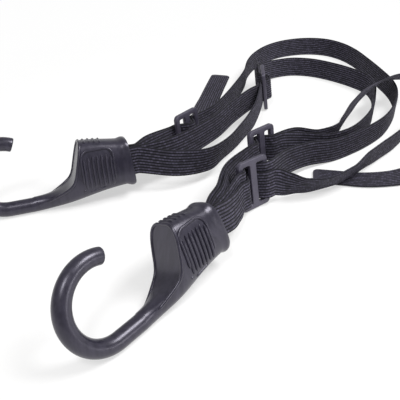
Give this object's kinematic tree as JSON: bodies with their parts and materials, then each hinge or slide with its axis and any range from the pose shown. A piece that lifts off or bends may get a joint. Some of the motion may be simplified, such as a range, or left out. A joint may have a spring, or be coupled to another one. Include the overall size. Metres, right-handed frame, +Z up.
{
  "type": "bungee cord",
  "caption": "Adjustable flat-elastic bungee cord: moulded hooks joined by doubled-back elastic straps with three-bar sliders, laid down loosely coiled.",
  "frame": {"origin": "on the table, under the middle of the box round both hooks", "axes": "+Z up from the table; +X to the right and +Y away from the viewer, as the cord lies in the picture"},
  "size_m": [0.2958, 0.3664, 0.0433],
  "materials": {
    "hook_plastic": "satin black moulding",
    "slider_plastic": "satin black moulding",
    "strap_elastic": "ribbed black woven elastic",
    "pin_steel": "plain drawn pin"
  },
  "bodies": {
    "straps": {"outer_strap_main": "strap_elastic", "inner_strap_main": "strap_elastic", "outer_strap_tail_b": "strap_elastic", "inner_strap_tail_b": "strap_elastic"},
    "end_a": {"hook_a": "hook_plastic", "strap_pin_a_far": "pin_steel", "strap_pin_a_near": "pin_steel", "outer_strap_end_a": "strap_elastic", "inner_strap_end_a": "strap_elastic", "outer_strap_tail_a": "strap_elastic"},
    "end_b": {"hook_b": "hook_plastic", "strap_pin_b_far": "pin_steel", "strap_pin_b_near": "pin_steel", "outer_strap_end_b": "strap_elastic", "inner_strap_end_b": "strap_elastic"},
    "slider_1": {"slider_1": "slider_plastic"},
    "slider_2": {"slider_2": "slider_plastic"},
    "slider_3": {"slider_3": "slider_plastic"},
    "slider_4": {"slider_4": "slider_plastic"}
  },
  "joints": [
    {"name": "hook_a_pull", "type": "slide", "parent": "straps", "child": "end_a", "axis": [-0.9421, -0.3354, 0], "range_m": [0, 0.05], "stiffness_N_per_m": 150, "deforming": ["outer_strap_main", "outer_strap_tail_a"]},
    {"name": "hook_b_pull", "type": "slide", "parent": "straps", "child": "end_b", "axis": [-0.628, -0.7782, 0], "range_m": [0, 0.05], "stiffness_N_per_m": 150, "deforming": ["inner_strap_main", "outer_strap_tail_b", "inner_strap_tail_b"]},
    {"name": "slider_1_slide", "type": "slide", "parent": "end_a", "child": "slider_1", "axis": [0.6157, 0.788, 0], "range_m": [-0.01, 0.01], "deforming": ["outer_strap_end_a"]},
    {"name": "slider_2_slide", "type": "slide", "parent": "end_a", "child": "slider_2", "axis": [0.0349, 0.9994, 0], "range_m": [-0.01, 0.01], "deforming": ["inner_strap_end_a"]},
    {"name": "slider_3_slide", "type": "slide", "parent": "end_b", "child": "slider_3", "axis": [0.7431, 0.6691, 0], "range_m": [-0.01, 0.01], "deforming": ["inner_strap_end_b"]},
    {"name": "slider_4_slide", "type": "slide", "parent": "end_b", "child": "slider_4", "axis": [0.7771, 0.6293, 0], "range_m": [-0.003, 0.01], "deforming": ["outer_strap_end_b"]}
  ]
}
